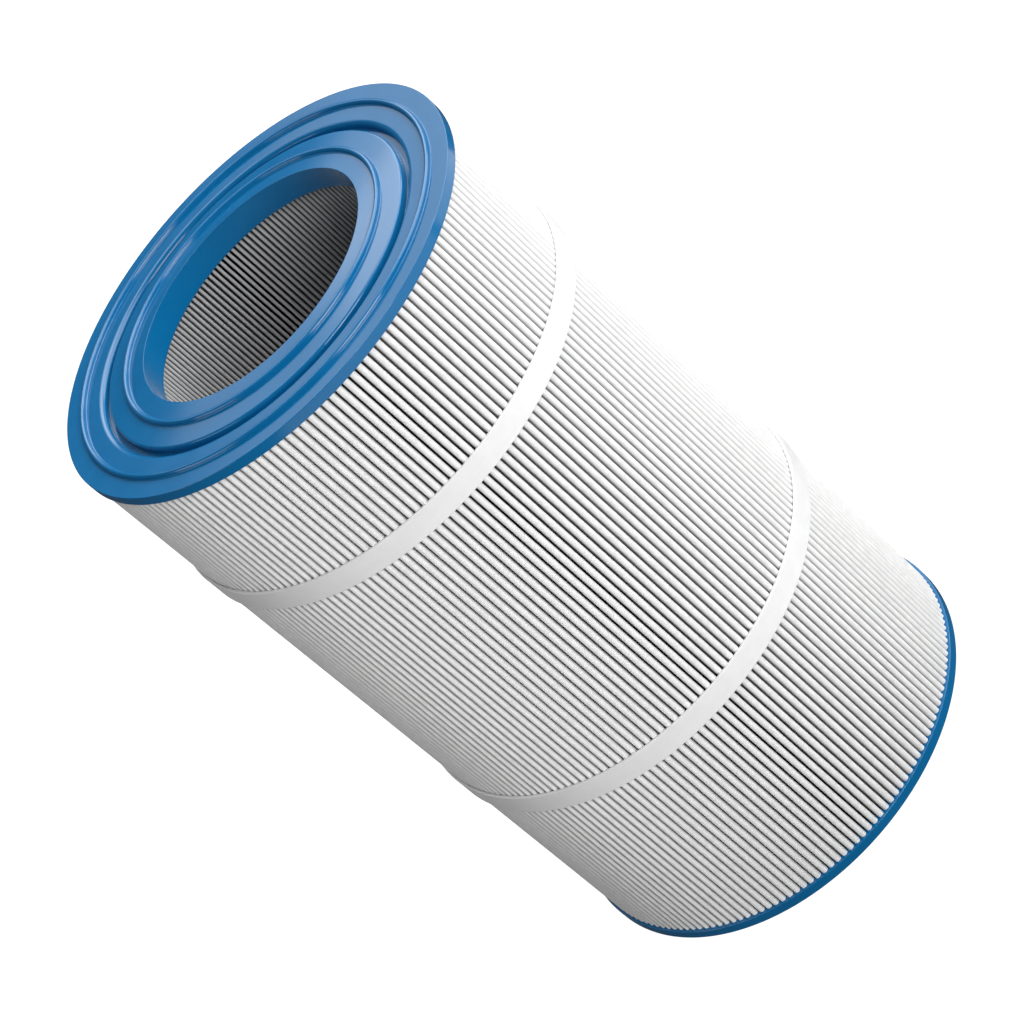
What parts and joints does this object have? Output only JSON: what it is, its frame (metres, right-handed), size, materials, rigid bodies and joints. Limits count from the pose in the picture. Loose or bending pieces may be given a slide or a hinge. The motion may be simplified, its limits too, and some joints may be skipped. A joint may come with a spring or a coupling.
{
  "type": "filter cartridge",
  "caption": "Cylindrical pleated water filter cartridge, open from end to end, with ribbed ring caps and straps round the pleats.",
  "frame": {"origin": "centre of the plane the cartridge stands on, at the crest of the lower cap's inner rib", "axes": "+Z along the axis from the lower cap to the upper cap, +Y towards the bonded seam and the laps of the straps"},
  "size_m": [0.227, 0.2276, 0.3873],
  "materials": {
    "cap": "satin moulded",
    "media": "non-woven polyester",
    "band": "smooth non-woven strap",
    "adhesive": "cured potting adhesive"
  },
  "bodies": {
    "root": {"top_cap": "cap", "bottom_cap": "cap", "pleated_media": "media", "media_seam": "adhesive", "top_inner_adhesive": "adhesive", "top_outer_adhesive": "adhesive", "bottom_inner_adhesive": "adhesive", "bottom_outer_adhesive": "adhesive", "upper_band": "band", "lower_band": "band"}
  },
  "joints": []
}
